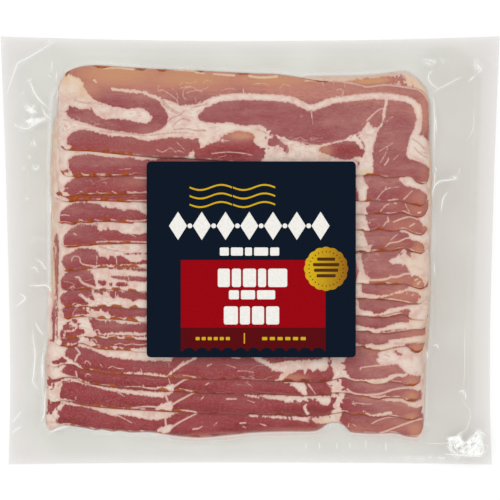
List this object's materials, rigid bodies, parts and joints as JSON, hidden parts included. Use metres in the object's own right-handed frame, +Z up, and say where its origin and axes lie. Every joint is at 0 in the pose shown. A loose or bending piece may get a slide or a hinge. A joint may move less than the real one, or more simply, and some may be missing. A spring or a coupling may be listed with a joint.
{
  "type": "bacon pack",
  "caption": "Flat vacuum pack of shingled streaky bacon: rashers in a clear sealed pouch with a wide rim, and a plain label on the front.",
  "frame": {"origin": "on the surface that the pack lies on, under the middle of its outline", "axes": "+X along the rashers, to the right as the label is read; +Y towards the pack's top edge; +Z up, out of the label"},
  "size_m": [0.282, 0.2419, 0.0146],
  "materials": {
    "bacon_in_film": "clear nylon and polyethylene film drawn tight over cured pork",
    "printed_label": "satin printed film label"
  },
  "bodies": {
    "root": {"sealed_pouch": "bacon_in_film", "front_label": "printed_label"}
  },
  "joints": []
}
